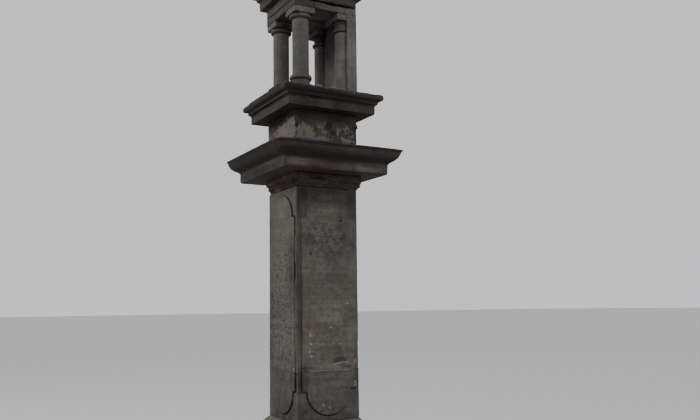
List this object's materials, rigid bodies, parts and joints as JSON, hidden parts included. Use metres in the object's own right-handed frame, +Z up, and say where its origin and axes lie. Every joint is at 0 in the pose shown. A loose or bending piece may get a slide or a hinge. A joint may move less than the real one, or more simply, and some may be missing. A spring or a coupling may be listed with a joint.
{
  "type": "plague column",
  "caption": "Square sandstone plague column with a panelled shaft, moulded cornices, an open columned lantern, a stone roof and an iron cross.",
  "frame": {"origin": "centre of the underside of the lowest step, on the ground", "axes": "+Z up; -Y is the open front of the lantern, between the free columns; +Y is the side with the lantern's back wall; +X is to the right seen from the front"},
  "size_m": [1.222, 1.222, 5.4747],
  "materials": {
    "base_sandstone": "weathered, rough, with moss low down",
    "shaft_sandstone": "weathered, fine-grained, grey-brown",
    "cornice_sandstone": "weathered, dark under the mouldings, chipped edges",
    "lantern_sandstone": "weathered, smoother on the columns",
    "wrought_iron": "dark, rusted"
  },
  "bodies": {
    "root": {"back_left_half_abacus": "lantern_sandstone", "back_left_half_column_base": "lantern_sandstone", "back_left_half_column_capital": "lantern_sandstone", "back_left_half_column_shaft": "lantern_sandstone", "back_lintel": "lantern_sandstone", "back_right_half_abacus": "lantern_sandstone", "back_right_half_column_base": "lantern_sandstone", "back_right_half_column_capital": "lantern_sandstone", "back_right_half_column_shaft": "lantern_sandstone", "ball_finial": "cornice_sandstone", "base_course": "base_sandstone", "bed_mould": "cornice_sandstone", "cross": "wrought_iron", "frieze_block": "lantern_sandstone", "front_left_abacus": "lantern_sandstone", "front_left_column_base": "lantern_sandstone", "front_left_column_capital": "lantern_sandstone", "front_left_column_shaft": "lantern_sandstone", "front_lintel": "lantern_sandstone", "front_right_abacus": "lantern_sandstone", "front_right_column_base": "lantern_sandstone", "front_right_column_capital": "lantern_sandstone", "front_right_column_shaft": "lantern_sandstone", "ground_step": "base_sandstone", "lantern_back_wall": "lantern_sandstone", "left_lintel": "lantern_sandstone", "lower_cornice": "cornice_sandstone", "neck_block": "cornice_sandstone", "plinth": "base_sandstone", "right_lintel": "lantern_sandstone", "roof_cap": "cornice_sandstone", "shaft_foot_block": "shaft_sandstone", "shaft_main_block": "shaft_sandstone", "top_cornice": "cornice_sandstone", "upper_cornice": "cornice_sandstone"}
  },
  "joints": []
}
